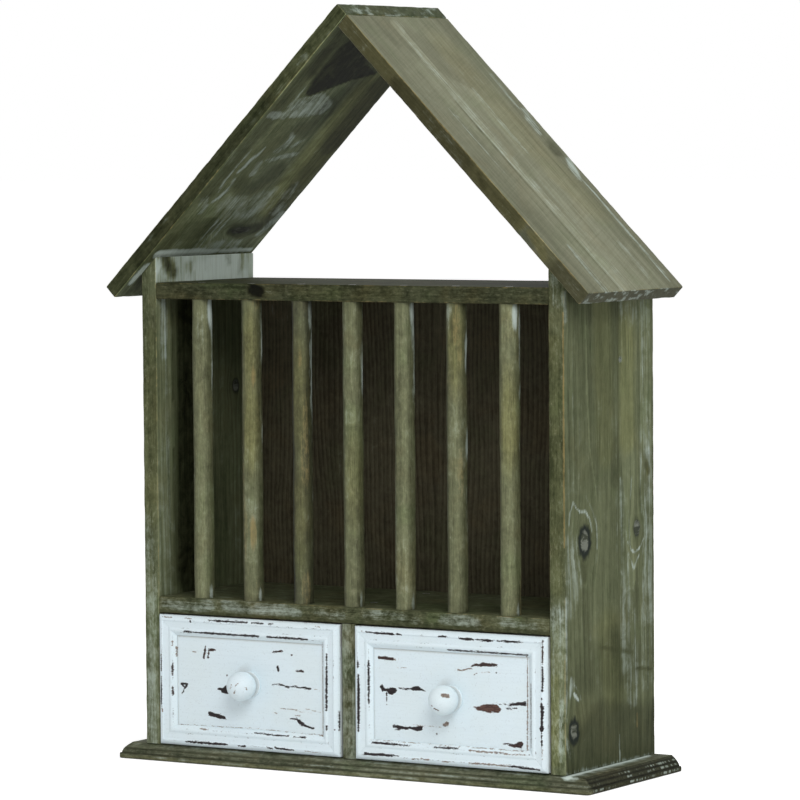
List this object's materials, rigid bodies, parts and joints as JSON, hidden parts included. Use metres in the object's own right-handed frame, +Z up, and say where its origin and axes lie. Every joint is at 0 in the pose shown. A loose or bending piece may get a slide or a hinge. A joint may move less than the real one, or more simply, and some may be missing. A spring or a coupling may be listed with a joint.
{
  "type": "bookshelf",
  "caption": "House-shaped children's bookshelf with a pitched roof, a book bay behind upright rods, and framed drawers with round knobs above a moulded base.",
  "frame": {"origin": "middle of the overall outline in plan, on the underside of the base board", "axes": "+Z up, +X to the right seen from the front, the drawers face and open towards -Y"},
  "size_m": [0.5714, 0.2134, 0.7744],
  "materials": {
    "stained_wood": "grey-green stained pine with a pale wash along the grain, matt",
    "roof_wood": "grey-olive stained pine with a pale wash, matt",
    "rod_wood": "stained rod with pale wash and rubbed spots, matt",
    "dark_back": "dark brown stained thin board, matt",
    "white_paint": "wood under cold white paint, chipped and rubbed to dark brown, satin",
    "raw_wood": "bare pine",
    "steel": "zinc-plated steel"
  },
  "bodies": {
    "case": {"base_board": "stained_wood", "left_side": "stained_wood", "right_side": "stained_wood", "middle_shelf": "stained_wood", "top_shelf": "stained_wood", "drawer_divider": "stained_wood", "back_panel": "dark_back", "rod_1": "rod_wood", "rod_2": "rod_wood", "rod_3": "rod_wood", "rod_4": "rod_wood", "rod_5": "rod_wood", "rod_6": "rod_wood", "rod_7": "rod_wood", "left_roof_board": "roof_wood", "right_roof_board": "roof_wood", "case_screws": "steel", "rod_screws": "steel", "shelf_dowels": "raw_wood", "roof_nails": "steel", "ridge_nails": "steel", "back_nails": "steel"},
    "left_drawer": {"left_drawer_front": "white_paint", "left_drawer_top_moulding": "white_paint", "left_drawer_bottom_moulding": "white_paint", "left_drawer_left_moulding": "white_paint", "left_drawer_right_moulding": "white_paint", "left_drawer_left_side": "raw_wood", "left_drawer_right_side": "raw_wood", "left_drawer_back": "raw_wood", "left_drawer_bottom": "raw_wood", "left_drawer_knob": "white_paint", "left_drawer_knob_screw": "steel", "left_drawer_nails": "steel"},
    "right_drawer": {"right_drawer_front": "white_paint", "right_drawer_top_moulding": "white_paint", "right_drawer_bottom_moulding": "white_paint", "right_drawer_left_moulding": "white_paint", "right_drawer_right_moulding": "white_paint", "right_drawer_left_side": "raw_wood", "right_drawer_right_side": "raw_wood", "right_drawer_back": "raw_wood", "right_drawer_bottom": "raw_wood", "right_drawer_knob": "white_paint", "right_drawer_knob_screw": "steel", "right_drawer_nails": "steel"}
  },
  "joints": [
    {"name": "left_drawer_slide", "type": "slide", "parent": "case", "child": "left_drawer", "axis": [0, -1, 0], "range_m": [0, 0.14]},
    {"name": "right_drawer_slide", "type": "slide", "parent": "case", "child": "right_drawer", "axis": [0, -1, 0], "range_m": [0, 0.14]}
  ]
}
